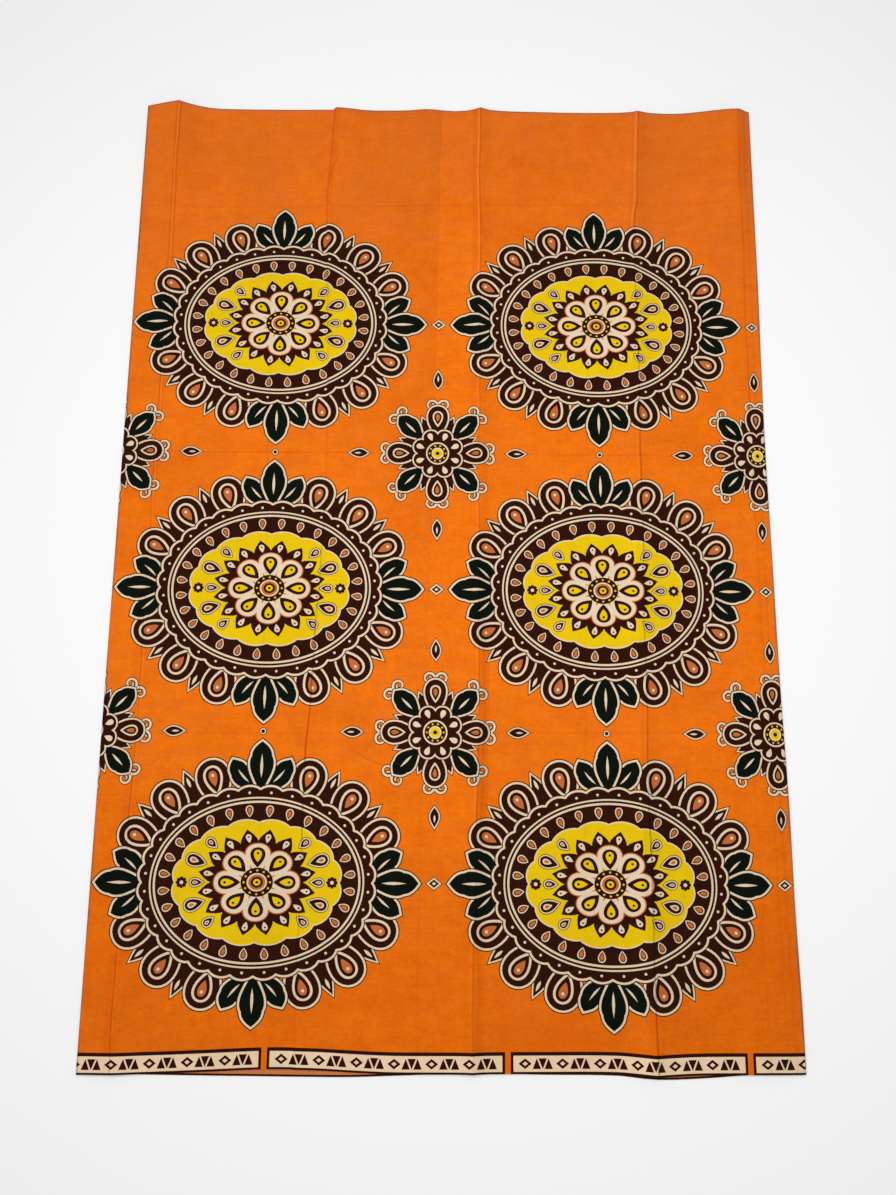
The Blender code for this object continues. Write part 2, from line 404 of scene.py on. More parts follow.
def cross_folds(x, y):
    """Faint folds across the cloth, from its time as a packet."""
    total = np.zeros_like(x)
    for number, fold in enumerate(CROSS_FOLDS):
        size = np.interp(x, (-SIDE_X, 0.0, SIDE_X), (fold.left, fold.mid, fold.right))
        size = size * unevenness(x, 3.1 * number)
        total = total - fold.depth * size * groove((y - fold.up - fold.slope * x) / fold.half)
    return total


def front_point(s, y):
    """Where a point of the front's outer face lies. s is its place across, measured along the cloth."""
    side = np.where(s < 0, -1.0, 1.0)
    flat = np.minimum(np.abs(s), TURN)
    near = smooth((flat - TURN + FOLD_BLEND) / FOLD_BLEND)
    x0 = side * (flat + ROUND * near)
    column = column_at(x0, y)
    pull = np.maximum(x0 - RIGHT_PULL_FROM, 0.0) / (SIDE_X - RIGHT_PULL_FROM)
    inset = read_table(RIGHT_FOLD, "y", "inset", y)
    radius = (STACK + lift(side * SIDE_X, y)) / 2
    top_x = x0 - pull * inset - side * radius * near
    own = waves(x0, y, FRONT_SEED, FRONT_WAVES) + troughs(FRONT_WRINKLES, x0, y)
    own = own + pressed_lines(column, y) + cross_folds(x0, y)
    top_z = STACK + lift(column, y) + own * (1 - near)
    angle = np.clip((np.abs(s) - TURN) / ROUND, 0.0, math.pi)
    under = np.maximum(np.abs(s) - TURN - FOLD_ARC, 0.0) * (LIP - radius) / (LIP - ROUND)
    fold_x = side * (SIDE_X - radius * (1 - np.sin(angle)) - under) - (side > 0) * inset
    on_top = np.abs(s) <= TURN
    x = np.where(on_top, top_x, fold_x)
    z = np.where(on_top, top_z, radius * (1 + np.cos(angle)))
    return np.stack([x, y + foot_bow("front_up", x, y) - top_bow(x, y), z], axis=1)


def back_point(s, y):
    """Where a point of the back's outer face lies. s runs on round the loop from the front."""
    share = (s - (LOOP / 2 - BACK_HALF)) / (2 * BACK_HALF)
    right = SIDE_X - read_table(RIGHT_FOLD, "y", "inset", y) - LIP - GAP
    x = right + (-BACK_HALF - right) * share
    z = BACK_WAVES * (1 + np.tanh(waves(x, y, BACK_SEED, 1)))
    z = z - BACK_WRINKLE_SHARE * troughs(BACK_WRINKLES, x, y)
    for number, crease in enumerate(BACK_CREASES):
        away = (x - crease.place - crease.lean * (TOP_Y - y) / LENGTH) / crease.half
        z = z + crease.depth * unevenness(y, 7 + number) * groove(away)
    z = np.maximum(z, 0.0) * smooth(np.minimum(share, 1 - share) / BACK_EDGE)
    return np.stack([x, y - foot_bow("back_down", x, y) - top_bow(x, y), z], axis=1)


def facing(point, s, y):
    """The way that the outer face looks at each place."""
    step = FACING_STEP
    across = point(s + step, y) - point(s - step, y)
    up = point(s, y + step) - point(s, y - step)
    normal = np.cross(across, up)
    return normal / np.linalg.norm(normal, axis=1)[:, None]


# Print inks
GROUND, MAROON, CREAM, YELLOW, OCHRE = "ground", "maroon", "cream", "yellow", "ochre"
GREEN, LINE, BOX, WRONG = "green", "line", "box", "wrong_side"
INKS = (GROUND, MAROON, CREAM, YELLOW, OCHRE, GREEN, LINE, BOX, WRONG)

# The print's layout, in metres along the cloth, and the sizes of its motifs, in millimetres
MOTIF_PITCH = LOOP / 4
MOTIF_FROM = -0.212  # place across of one column of medallions
MOTIF_ROWS = (0.2895, -0.0540, -0.3950)
STAR_ACROSS = 1.24  # how much the middle star is stretched across
STAR_UP = 1.10
RING_NARROWING = 26  # how much less a ring of the medallion reaches up than across
LOBE_CURL = 0.014  # how much a leaf of the sprays bends, in radians for each millimetre
LOBE_BENDS_AT = 12
TENDRIL_TURNS = 1.25
TENDRIL_WINDS_IN = 0.74  # share of its radius that a tendril loses over its length
TENDRIL_THINS = 0.55  # and of its width
BLUNTEST = 0.3  # outlines are drawn out at a sharp corner only down to this cosine
LONGEST_CORNER = 1.8  # and no farther than this
BOX_PITCH = LOOP / 6
BOX_FROM = -0.0624  # middle of one box of the foot border
BOX_LENGTH = 261
BOX_GROUPS = 6  # groups of marks in a box
BOX_MARGIN = 4
BORDER_TOP = 22.7
BORDER_FOOT = -0.5
LINE_TOP = 3.8
LINE_FOOT = 2.3
LINE_SIDE = 3
SHOWN_LINE = 0.0022  # the foot line where it shows through to the wrong side
MARK_HALF = 5.5  # half height of the border's marks
LOZENGE_HALF = 7.2
LOZENGE_AT = -11.8
LOZENGE_HEART = 0.42
WEDGE_HALF = 4.6

# One flat patch of ink: where patches overlap, the higher level shows
Patch = namedtuple("Patch", "level ink outline")


def stacked(level, *rows):
    """Patches on each other, from rows of ink, outline and how far along +X the outline is moved."""
    rows = [(ink, [(x + out, y) for x, y in line]) for ink, line, out in rows]
    return [Patch(level + k, ink, line) for k, (ink, line) in enumerate(rows)]


def changed(patches, to):
    """The same patches, with every point of their outlines put through a function."""
    return [Patch(level, ink, [to(x, y) for x, y in outline]) for level, ink, outline in patches]


def placed(patches, x0, y0=0.0, angle=0.0):
    """The same patches, turned and then moved."""
    c, s = math.cos(angle), math.sin(angle)
    return changed(patches, lambda x, y: (x * c - y * s + x0, x * s + y * c + y0))


def mirrored(patches):
    return changed(patches, lambda x, y: (x, -y))


def around(patches, count, across, up=None, phase=0.0, only=(0, 1, 2, 3), turning=True):
    """Copies at equal turns round an oval, each facing straight out. only says which of every four."""
    copies = []
    up = up or across
    for k in range(count):
        turn = 2 * math.pi * (k + phase) / count
        x, y = math.cos(turn), math.sin(turn)
        out = math.atan2(y / up, x / across) if turning else 0.0
        if k % 4 in only:
            copies += placed(patches, across * x, up * y, out)
    return copies


def grown(points, by):
    """The outline of a shape, moved out all round by a distance."""
    out = []
    for before, here, after in zip(points[-1:] + points, points, points[1:] + points[:1]):
        sides = [(b[0] - a[0], b[1] - a[1]) for a, b in ((before, here), (here, after))]
        (n1x, n1y), (n2x, n2y) = [(y / math.hypot(x, y), -x / math.hypot(x, y)) for x, y in sides]
        mx, my = n1x + n2x, n1y + n2y
        size = math.hypot(mx, my)
        mx, my = mx / size, my / size
        stretch = min(1 / max(mx * n1x + my * n1y, BLUNTEST), LONGEST_CORNER)
        out.append((here[0] + mx * by * stretch, here[1] + my * by * stretch))
    return out


def oval(across, up, count):
    turns = [2 * math.pi * k / count for k in range(count)]
    return [(across * math.cos(turn), up * math.sin(turn)) for turn in turns]


def discs(level, *rows):
    """Round patches on each other: the ink, radius and number of points of each."""
    return stacked(level, *((ink, oval(radius, radius, count), 0) for ink, radius, count in rows))


def scalloped(across, up, lobes, depth, steps):
    """An oval whose edge is a row of round lobes."""
    points = []
    for k in range(lobes * steps):
        turn = 2 * math.pi * k / (lobes * steps)
        bulge = depth * abs(math.sin(lobes * turn / 2)) ** 0.8
        points.append(((across + bulge) * math.cos(turn), (up + bulge) * math.sin(turn)))
    return points


def drop(length, half, count, sharp=0.9):
    """A petal along +X: pointed at its base, round at its end."""
    most = max(math.sin(t) * math.sin(t / 2) ** sharp for t in [k * math.pi / 60 for k in range(61)])
    points = []
    for k in range(count):
        turn = 2 * math.pi * k / count
        y = -half * math.sin(turn) * abs(math.sin(turn / 2)) ** sharp / most
        points.append((length * (1 - math.cos(turn)) / 2, y))
    return points


def leaf(length, half, count):
    """A leaf along +X, pointed at both ends."""
    side = [2 * k / count for k in range(count // 2 + 1)]
    low = [(length * t, -half * math.sin(math.pi * t ** 0.9)) for t in side]
    return low + [(x, -y) for x, y in low[-2:0:-1]]


def broad_leaf(length, half):
    """A leaf along +X: broad past its middle, with a blunt point and a notched shoulder on each side."""
    low = [(0, 0), (10, -20), (20, -43), (30, -65), (40, -84), (48, -95), (56, -100), (63, -99)]
    low += [(68.5, -92), (72, -84), (76, -83), (82, -75), (88, -59), (94, -34), (100, 0)]
    low = [(x / 100 * length, y / 100 * half) for x, y in low]
    return low + [(x, -y) for x, y in low[-2:0:-1]]


def lobe_bend(x, y):
    """Where a point of a leaf along +X lies once the leaf bends round to the left."""
    angle = LOBE_CURL * max(x - LOBE_BENDS_AT, 0.0)
    if angle == 0:
        return x, y
    radius = 1 / LOBE_CURL
    return LOBE_BENDS_AT + (radius - y) * math.sin(angle), radius - (radius - y) * math.cos(angle)


def tendril(radius, half, count=18):
    """A curl that starts at the origin along +X and winds in to the left."""
    left, right = [], []
    for k in range(count + 1):
        share = k / count
        turn = 2 * math.pi * TENDRIL_TURNS * share - math.pi / 2
        reach = radius * (1 - TENDRIL_WINDS_IN * share)
        for side, width in ((left, -half), (right, half)):
            out = reach + width * (1 - TENDRIL_THINS * share)
            side.append((out * math.cos(turn), radius + out * math.sin(turn)))
    return right + left[::-1]


def lozenge(across, up):
    return [(-across, 0), (0, -up), (across, 0), (0, up)]


def bar(x0, x1, y0, y1):
    return [(x0, y0), (x1, y0), (x1, y1), (x0, y1)]


def outlined(level, ink, points, cream=2.4, line=1.2):
    """A filled shape with a cream outline and, outside that, a thin dark one."""
    dark = [Patch(level, LINE, grown(points, cream + line))] if line else []
    pale = [Patch(level + 1, CREAM, grown(points, cream))] if cream else []
    return dark + pale + [Patch(level + 2, ink, points)]


def wreath_petal():
    """A round-ended petal with nested drops in it."""
    nested = (
        (CREAM, drop(36, 11.2, 26), 13.5),
        (MAROON, drop(29, 8.4, 21), 18),
        (OCHRE, drop(18.5, 5, 15), 25),
        (CREAM, oval(1.8, 1.8, 10), 38.2),
    )
    return outlined(10, MAROON, drop(56, 18.5, 31, 0.8)) + stacked(14, *nested)


def sepal():
    """A pointed leaf that shows between two petals of the wreath."""
    vein = stacked(7, (CREAM, leaf(13, 1.8, 10), 34.5))
    return outlined(4, MAROON, leaf(54, 8.8, 20), 1.8, 1) + vein


def spray():
    """Three dark leaves from one stem."""
    lobe = [lobe_bend(x, y) for x, y in broad_leaf(50, 11.8)]
    vein = [lobe_bend(x + 17, y) for x, y in leaf(20, 1.3, 8)]
    side = placed(outlined(20, GREEN, lobe) + stacked(23, (CREAM, vein, 0)), 0, 0, -0.95)
    middle = placed(outlined(24, GREEN, broad_leaf(60, 13.8)), 1)
    return placed(side + mirrored(side), 4) + middle + stacked(27, (CREAM, leaf(28, 1.7, 8), 19))


def field_drop(length, half):
    """A drop on the yellow field, pointing away from the star."""
    nested = (
        (CREAM, drop(0.52 * length, 0.52 * half, 14), 0.34 * length),
        (OCHRE, drop(0.30 * length, 0.30 * half, 10), 0.47 * length),
    )
    return outlined(50, MAROON, drop(length, half, 20), 1.4, 0.8) + stacked(53, *nested)


def floweret():
    """A small flower for the wide ends of the yellow field."""
    petal = stacked(57, (MAROON, drop(5.8, 2.1, 8, 1), 0))
    return around(petal, 8, 0.8) + discs(58, (CREAM, 2.2, 8))


def band_drop():
    """A drop of the dark band inside the rings."""
    return stacked(
        38,
        (CREAM, drop(13.5, 4.6, 14, 0.8), 0),
        (MAROON, drop(10.8, 3.2, 11, 0.8), 1.5),
        (OCHRE, drop(8.2, 2.2, 9, 0.8), 3),
    )


def star():
    """The dark star in the middle, with eight petals on it and an eye of rings."""
    tip = (CREAM, drop(9.2, 2.7, 12, 1), 13)
    ray = stacked(60, (MAROON, leaf(27, 8.4, 16), 0), tip, (MAROON, oval(1, 1, 6), 19.1))
    blade = drop(30, 11.2, 28)
    petal = stacked(
        64,
        (OCHRE, grown(blade, 1.1), 0),
        (CREAM, blade, 0),
        (MAROON, drop(20.5, 7, 22), 6),
        (YELLOW, drop(12.5, 3.8, 16), 11.5),
        (MAROON, oval(1.3, 1.3, 8), 20.3),
    )
    eye = [(MAROON, 14.8, 36), (CREAM, 9.3, 28), (OCHRE, 7.8, 24), (MAROON, 5.6, 20)]
    eye = discs(70, *eye, (YELLOW, 3.4, 16), (MAROON, 1.4, 8))
    eye += around(discs(71, (YELLOW, 1.1, 8)), 12, 12, turning=False)
    rays = around(ray, 16, 27.5, phase=0.5) + discs(60, (MAROON, 42, 40))
    return changed(rays + around(petal, 8, 9) + eye, lambda x, y: (STAR_ACROSS * x, STAR_UP * y))


def medallion():
    """The large motif: a wreath, a scalloped band, rings, a band of drops and a field with the star."""
    wreath = around(sepal(), 16, 116, 90, 0.5, only=(1, 2)) + around(spray(), 4, 122, 98)
    wreath += around(wreath_petal(), 16, 116, 90, only=(1, 2, 3))
    band = outlined(30, MAROON, scalloped(129, 103, 32, 4.2, 6))
    band += around(discs(33, (CREAM, 1.6, 8)), 32, 126.5, 100.5, 0.5, turning=False)
    rings = ((CREAM, 121.5), (MAROON, 119.6), (CREAM, 117.2), (MAROON, 114.8))
    band += stacked(34, *((ink, oval(across, across - RING_NARROWING, 104), 0) for ink, across in rings))
    band += around(band_drop(), 28, 98.5, 73, 0.5)
    field = outlined(42, YELLOW, scalloped(92, 66, 16, 4, 9), 1.4, 0)
    corner = placed(field_drop(21, 6.2), 59.5, 21, math.atan(0.30))
    corner += placed(field_drop(12, 4), 48, 39.5, math.atan(0.80))
    end = placed(floweret(), 85) + placed(field_drop(12.5, 3.6), 62) + corner + mirrored(corner)
    return wreath + band + field + end + placed(end, 0, 0, math.pi) + star()


def rosette():
    """A flower with eight leaves, for the ground between the medallions."""
    green = outlined(20, GREEN, broad_leaf(44, 12), 2, 1)
    green += stacked(23, (CREAM, leaf(19, 1.4, 10), 14))
    petal = outlined(20, MAROON, drop(40, 12.5, 26, 0.8), 2, 1) + stacked(
        23,
        (CREAM, drop(21, 6.6, 18), 12.5),
        (MAROON, drop(16, 4.6, 16), 15.5),
        (OCHRE, drop(10, 2.6, 10), 19.5),
    )
    tip = outlined(20, MAROON, leaf(22, 5, 16), 1.5, 0.8)
    tip += stacked(23, (CREAM, leaf(9, 1.2, 8), 8))
    curl = placed(outlined(6, CREAM, tendril(7.2, 1.5), 0, 0.9), 0, 0.6, 0.10)
    curls = curl + mirrored(curl)
    point = outlined(10, MAROON, leaf(38, 7, 14), 1.6, 0.9)
    inner = outlined(30, MAROON, drop(27, 9.2, 22, 1), 1.8, 1)
    inner += stacked(34, (CREAM, drop(10.4, 3.3, 14, 1), 13.6))
    eye = [(CREAM, 14.4, 32), (MAROON, 12.5, 30), (CREAM, 7.5, 22), (YELLOW, 5.8, 18)]
    whole = discs(36, *eye, (MAROON, 2.4, 10))
    whole += around(discs(38, (YELLOW, 1.2, 8)), 10, 9.9, turning=False)
    whole += around(petal, 4, 22) + around(tip, 4, 86) + around(curls, 4, 64)
    whole += around(green, 4, 24, phase=0.5) + around(curls, 4, 70, phase=0.5)
    return whole + around(point, 8, 12, phase=0.5) + around(inner, 8, 4, phase=0.5)


def link():
    """A small lozenge, between two medallions side by side."""
    heart = stacked(23, (CREAM, lozenge(2.5, 1.9), 0))
    return outlined(20, MAROON, lozenge(5.8, 4.6), 1.8, 0.8) + heart


def bead():
    """A round spot, between two medallions one above the other."""
    return outlined(20, MAROON, oval(2.2, 2.2, 12), 1.4, 0.8)


def border_box():
    """One pale box of the foot border, with its frame and a row of marks, from its foot middle."""
    half, top = BOX_LENGTH / 2, BORDER_TOP - LINE_TOP
    inner = half - LINE_SIDE
    heart = lozenge(LOZENGE_HEART * LOZENGE_HALF, LOZENGE_HEART * MARK_HALF)
    marks = stacked(12, (LINE, lozenge(LOZENGE_HALF, MARK_HALF), LOZENGE_AT), (BOX, heart, LOZENGE_AT))
    for step, up in ((1, MARK_HALF), (7.5, -MARK_HALF), (14, MARK_HALF)):
        marks += stacked(12, (LINE, [(-WEDGE_HALF, -up), (WEDGE_HALF, -up), (0, up)], step))
    box = stacked(
        10, (LINE, bar(-half, half, BORDER_FOOT, BORDER_TOP), 0),
        (BOX, bar(-inner, inner, LINE_FOOT, top), 0)
    )
    for k in range(BOX_GROUPS):
        x = BOX_MARGIN - inner + 2 * (inner - BOX_MARGIN) * (k + 0.5) / BOX_GROUPS
        box += placed(marks, x, (LINE_FOOT + top) / 2)
    return box


# Lines where one ink meets another: places, and edges between them with the ink on the left and right
InkEdges = namedtuple("InkEdges", "places edges")


def whole_print(low, high):
    """Every edge between two inks on the stretch of cloth between two places across."""
    whole = InkEdges([], [])
    between = MOTIF_FROM + MOTIF_PITCH / 2
    halfway = [(upper + lower) / 2 for upper, lower in zip(MOTIF_ROWS, MOTIF_ROWS[1:])]
    layout = (
        (medallion, MOTIF_FROM, MOTIF_PITCH, 0.19, MOTIF_ROWS),
        (link, between, MOTIF_PITCH, 0.02, MOTIF_ROWS),
        (rosette, between, MOTIF_PITCH, 0.06, halfway),
        (bead, MOTIF_FROM, MOTIF_PITCH, 0.02, halfway),
        (border_box, BOX_FROM, BOX_PITCH, BOX_LENGTH / 2 * MM, [FOOT_Y]),
    )
    for motif, first, pitch, reach, rows in layout:
        ink = ink_edges(motif())
        lowest = math.ceil((low - reach - first) / pitch)
        highest = math.floor((high + reach - first) / pitch)
        for row in rows:
            for column in [first + pitch * k for k in range(lowest, highest + 1)]:
                start = len(whole.places)
                whole.places.extend((x + column, y + row) for x, y in ink.places)
                whole.edges.extend((start + a, start + b, left, right) for a, b, left, right in ink.edges)
    return whole


def sides_of(triangle):
    a, b, c = triangle
    return (a, b), (b, c), (c, a)


def renumbered(groups):
    """The points that are used, and the same groups with new numbers for them."""
    used = sorted({k for group in groups for k in group})
    new = {old: k for k, old in enumerate(used)}
    return used, [[new[k] for k in group] for group in groups]


def for_cutting(points):
    """A closed outline with its inside on the left, and extra points that let its long sides bend."""
    points = [(x * MM, y * MM) for x, y in points]
    pairs = list(zip(points, points[1:] + points[:1]))
    out = []
    for (ax, ay), (bx, by) in pairs:
        parts = max(1, math.ceil(math.hypot(bx - ax, by - ay) / LONGEST_EDGE))
        out += [(ax + (bx - ax) * k / parts, ay + (by - ay) * k / parts) for k in range(parts)]
    return out if sum(ax * by - bx * ay for (ax, ay), (bx, by) in pairs) > 0 else out[::-1]


def ink_edges(patches):
    """Lay a motif's patches over each other and keep only the lines where two inks meet."""
    places, faces = [], []
    for patch in patches:
        outline = for_cutting(patch.outline)
        faces.append(list(range(len(places), len(places) + len(outline))))
        places += [Vector(p) for p in outline]
    flat, _, triangles, _, _, owners = delaunay_2d_cdt(places, [], faces, 0, CUT_TOLERANCE, True)
    inks = {}
    for triangle, owner in zip(triangles, owners):
        ink = patches[max(owner, key=lambda k: patches[k].level)].ink if owner else GROUND
        inks.update({side: ink for side in sides_of(triangle)})
    pairs, meeting = [], []
    for (a, b), left in inks.items():
        right = inks.get((b, a), GROUND)
        if left != right and (a < b or (b, a) not in inks):
            pairs.append((a, b))
            meeting.append((left, right))
    used, pairs = renumbered(pairs)
    edges = [(a, b, left, right) for (a, b), (left, right) in zip(pairs, meeting)]
    return InkEdges([tuple(flat[k]) for k in used], edges)


# How closely the points of the sheets lie, in metres
GRID = 0.0154  # spacing of the plain grid that lets the cloth bend
INNER_GRID = 0.018
BACK_GRID = 0.014
LONGEST_EDGE = 0.008
CLOSEST_LINE = 0.0009
NEAR_SHARES = (0.08, 0.24)  # lines of points this far down a crease's flanks
FAR_SHARES = (0.5, 0.75, 1)  # and loose points farther down
STEEP = 0.01  # a flank narrower than this is steep
STEEP_SHARES = (0.5, 1)  # and has its lines this far down
BROAD = 0.003  # a pressed line wider than this needs one line of points
CROSS_END = 0.385  # the folds across end short of the side folds
FINE_ROW = 0.019  # spacing of the points along a line
WRINKLE_ROW = 0.006
RIM_ROW = 0.018
BEFORE_FOLD = (0.003, 0.008)  # lines this far before a side fold
EDGE_CLEAR = 0.0025  # no line of a crease comes closer to the side fold than this
LOOSE_CLEAR = 0.012  # and no column of loose points
GRID_CLEAR = 0.016  # and none of the plain grid
BACK_CLEAR = 0.01
LINE_ROOM = 0.003  # how far loose points keep from a crease's lines
GRID_ROOM = 0.5  # and the plain grid, as a share of its step
FOLD_STEP = 0.125  # share of a side fold between two lines of points
COARSE_FOLD_STEP = 0.25
WRINKLE_SHARES = (-2, -1, 0, 1, 2, 3.2)  # points across a wrinkle, in half widths
BEYOND = 0.001
SAME_PLACE = 7  # decimals to which two places are the same
TINY = 1e-15
CUT_TOLERANCE = 1e-6
FLAT_MAP = "Flat"  # the flat cloth in metres, for the weave and the dye
BAKE_MAP = "OFBake"
OUTER_SHARE = 0.93  # how much of the bake map's width the outer face takes
INNER_FROM, INNER_SHARE = 0.94, 0.045
RIM_FROM, RIM_SHARE = 0.992, 0.006


def crease_lines(coarse):
    """Columns of the lines of points that carry the front's creases, with each line's drift."""
    lines = []
    for crease in CREASES:
        left = NEAR_SHARES if crease.left > STEEP else STEEP_SHARES
        offsets = [0.0] + [-crease.left * share for share in left]
        offsets += [crease.right * share for share in NEAR_SHARES]
        lines += [(crease.place + offset, 0.0) for offset in offsets]
    for line in PRESSES:
        for share in (0,) if coarse or line.half > BROAD else (-1, 0, 1):
            lines.append((PLACES[line.crease].place + line.offset + share * line.half, line.drift))
    lines += [(PLACES[line.crease].place + line.side * line.width, 0.0) for line in FLANKS]
    kept = []
    for place, drift in sorted(lines):
        if abs(place) < TURN - EDGE_CLEAR and (not kept or place - kept[-1][0] > CLOSEST_LINE):
            kept.append((place, drift))
    return kept


def spaced(low, high, step):
    count = max(1, round((high - low) / step))
    return [low + (high - low) * k / count for k in range(count + 1)]


def leaning(place, drift, rows):
    """The points of one of the front's columns at some heights."""
    rows = np.array(rows)
    return list(zip(row_at(place + drift * (TOP_Y - rows) / LENGTH, rows).tolist(), rows.tolist()))


def front_lines(coarse):
    """Lines of points that let the front bend: along its creases, folds across and side folds."""
    rows = spaced(FOOT_Y, TOP_Y, FINE_ROW)
    lines = [leaning(place, drift, rows) for place, drift in crease_lines(coarse)]
    step = COARSE_FOLD_STEP if coarse else FOLD_STEP
    across = [TURN + FOLD_ARC * turn for turn in spaced(0.0, 1.0, step)]
    across += [TURN - before for before in BEFORE_FOLD]
    lines += [[(side * x, y) for y in rows] for x in across for side in (-1, 1)]
    for fold in CROSS_FOLDS:
        for share in (0,) if coarse else (-1, 0, 1):
            up = fold.up + share * fold.half
            lines.append([(x, up + fold.slope * x) for x in spaced(-CROSS_END, CROSS_END, FINE_ROW)])
    return lines


def free(x, taken, room):
    """Whether a column keeps clear of those that are taken."""
    return min(abs(x - other) for other in taken) > room


def front_grid(coarse):
    """A plain grid of points between the front's creases, and its wrinkles."""
    points = []
    step = INNER_GRID if coarse else GRID
    taken = [place + drift / 2 for place, drift in crease_lines(coarse)]
    for crease in CREASES:
        for share in FAR_SHARES:
            for x in (crease.place - crease.left * share, crease.place + crease.right * share):
                if abs(x) < TURN - LOOSE_CLEAR and free(x, taken, LINE_ROOM):
                    points += leaning(x, 0.0, spaced(FOOT_Y, TOP_Y, FINE_ROW)[1:-1])
                    taken.append(x)
    for x in spaced(-TURN + GRID_CLEAR, TURN - GRID_CLEAR, step):
        if free(x, taken, GRID_ROOM * step):
            points += leaning(x, 0.0, spaced(FOOT_Y, TOP_Y, step)[1:-1])
    return points if coarse else points + wrinkle_points(FRONT_WRINKLES, lambda x, y: (x, y))


def wrinkle_points(wrinkles, to_flat):
    """Points along and beside each small wrinkle."""
    points = []
    for w in wrinkles:
        dx, dy = w.x2 - w.x1, w.y2 - w.y1
        length = math.hypot(dx, dy)
        for k in range(1, round(length / WRINKLE_ROW)):
            t = k * WRINKLE_ROW / length
            for share in WRINKLE_SHARES:
                out = share * w.half / length
                points.append(to_flat(w.x1 + dx * t - dy * out, w.y1 + dy * t + dx * out))
    return points


def back_flat(x, y):
    return (LOOP / 2 - x, y)


def back_lines(coarse):
    """Lines of points along the hidden layer's creases."""
    rows = spaced(FOOT_Y, TOP_Y, INNER_GRID if coarse else BACK_GRID)
    lines = []
    for crease in BACK_CREASES:
        for share in (0,) if coarse else (-1, -0.5, 0, 0.5, 1):
            at = crease.place + share * crease.half
            lines.append([back_flat(at + crease.lean * (TOP_Y - y) / LENGTH, y) for y in rows])
    return lines


def back_grid(coarse):
    """A plain grid of points on the hidden layer, and its wrinkles."""
    step = INNER_GRID if coarse else BACK_GRID
    taken = [LOOP / 2 - crease.place for crease in BACK_CREASES]
    columns = spaced(LOOP / 2 - BACK_HALF + BACK_CLEAR, LOOP / 2 + BACK_HALF - BACK_CLEAR, step)
    rows = spaced(FOOT_Y, TOP_Y, step)[1:-1]
    points = [(s, y) for s in columns if free(s, taken, GRID_ROOM * step) for y in rows]
    return points if coarse else points + wrinkle_points(BACK_WRINKLES, back_flat)


def rim_loop(low, high, lines):
    """The sheet's edge as a closed run of places, with a point wherever a line of points ends on it."""
    sides = []
    for end in (0, -1):
        kept = [low]
        for x in sorted(spaced(low, high, GRID) + [line[end][0] for line in lines]):
            if x - kept[-1] > CLOSEST_LINE and high - x > CLOSEST_LINE:
                kept.append(x)
        sides.append(kept)
    ups = spaced(FOOT_Y, TOP_Y, RIM_ROW)
    loop = [(x, FOOT_Y) for x in sides[0]] + [(high, y) for y in ups]
    return loop + [(x, TOP_Y) for x in sides[1][:0:-1]] + [(low, y) for y in ups[:0:-1]]


def selvedge_line(low, high):
    """The dark foot line of the print, as it shows through to the wrong side."""
    places = [(x, FOOT_Y + SHOWN_LINE) for x in spaced(low - BEYOND, high + BEYOND, INNER_GRID)]
    return InkEdges(places, [(k, k + 1, WRONG, LINE) for k in range(len(places) - 1)])


def cut_flat(loop, ink, lines, points, plain):
    """Cut the flat sheet into triangles along every ink's edge, into places, triangles and inks."""
    first = len(loop)
    places = loop + ink.places
    edges = [(first + a, first + b) for a, b, _, _ in ink.edges]
    for line in lines:
        edges += [(k, k + 1) for k in range(len(places), len(places) + len(line) - 1)]
        places = places + line
    places = [Vector(p) for p in places + points]
    face = [list(range(first))]
    cut = delaunay_2d_cdt(places, edges, face, 0, CUT_TOLERANCE, True)
    flat, cuts, triangles, _, sources, owners = cut
    sides = {}
    for (a, b), source in zip(cuts, sources):
        for pa, pb, left, right in [ink.edges[k] for k in source if k < len(ink.edges)]:
            same = (flat[b] - flat[a]).dot(Vector(ink.places[pb]) - Vector(ink.places[pa])) > 0
            sides[(a, b)], sides[(b, a)] = (left, right) if same else (right, left)
    kept = [triangle for triangle, owner in zip(triangles, owners) if owner]
    inks = spread_ink(kept, sides, plain)
    used, kept = renumbered(kept)
    return np.array([flat[k][:] for k in used], dtype=float), kept, inks


def spread_ink(triangles, sides, plain):
    """Give every triangle its ink: from the ink's edges first, then from neighbour to neighbour."""
    holder, inks, waiting = {}, {}, []
    for number, triangle in enumerate(triangles):
        for edge in sides_of(triangle):
            holder[edge] = number
            if edge in sides and number not in inks:
                inks[number] = sides[edge]
                waiting.append(number)
    while waiting:
        number = waiting.pop()
        for a, b in sides_of(triangles[number]):
            other = holder.get((b, a))
            if other is not None and other not in inks and (b, a) not in sides:
                inks[other] = inks[number]
                waiting.append(other)
    return [inks.get(number, plain) for number in range(len(triangles))]


def open_edges(triangles):
    """The edges that only one triangle has, from point to point, each with its triangle."""
    seen = {edge: number for number, triangle in enumerate(triangles) for edge in sides_of(triangle)}
    return {(a, b): number for (a, b), number in seen.items() if (b, a) not in seen}


def linked(name, data):
    """A new object in the scene."""
    made = bpy.data.objects.new(name, data)
    bpy.context.scene.collection.objects.link(made)
    return made


def rim_order(rim):
    """The points of a face's edge, in order round it."""
    follows = {a: b for a, b in rim}
    order = [next(iter(follows))]
    while follows[order[-1]] != order[0]:
        order.append(follows[order[-1]])
    return order


def set_normals(mesh, places, faces, looking, first_rim):
    """Shade both faces by the way the cloth looks at each place, and the rim flat."""
    faces = np.array(faces)
    normals = looking[faces]
    a, b, c = (places[faces[first_rim:, k]] for k in range(3))
    rim_normals = np.cross(b - a, c - a)
    rim_normals /= np.maximum(np.linalg.norm(rim_normals, axis=1), TINY)[:, None]
    normals[first_rim:] = rim_normals[:, None, :]
    mesh.normals_split_custom_set(normals.reshape(-1, 3).tolist())


